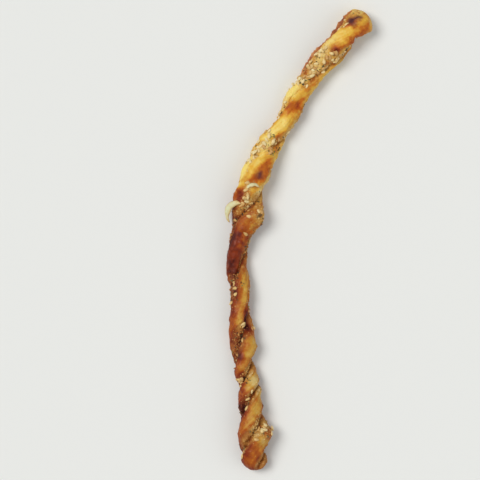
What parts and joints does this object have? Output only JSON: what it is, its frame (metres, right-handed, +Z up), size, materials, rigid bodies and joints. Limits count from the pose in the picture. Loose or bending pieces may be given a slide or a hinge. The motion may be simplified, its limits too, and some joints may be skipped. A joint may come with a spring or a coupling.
{
  "type": "grissini breadstick",
  "caption": "Twisted, bent and baked dough stick with rounded ends, strewn with sesame and herbs; a snack that lies on its pressed lower side.",
  "frame": {"origin": "on the surface that it lies on, below the middle of its box", "axes": "+Y along the stick, from the foot towards the crown, which leans to +X; +Z up, out of the side that shows"},
  "size_m": [0.08, 0.2534, 0.0161],
  "materials": {
    "crust": "baked dough: golden yellow puffed edges, tan faces, orange-brown to maroon folds, satin from egg wash",
    "sesame": "hulled sesame, cream to light tan, faint oil gloss",
    "herbs": "dried herb flakes, olive brown to near black, matt"
  },
  "bodies": {
    "root": {"breadstick": "crust"}
  },
  "joints": []
}
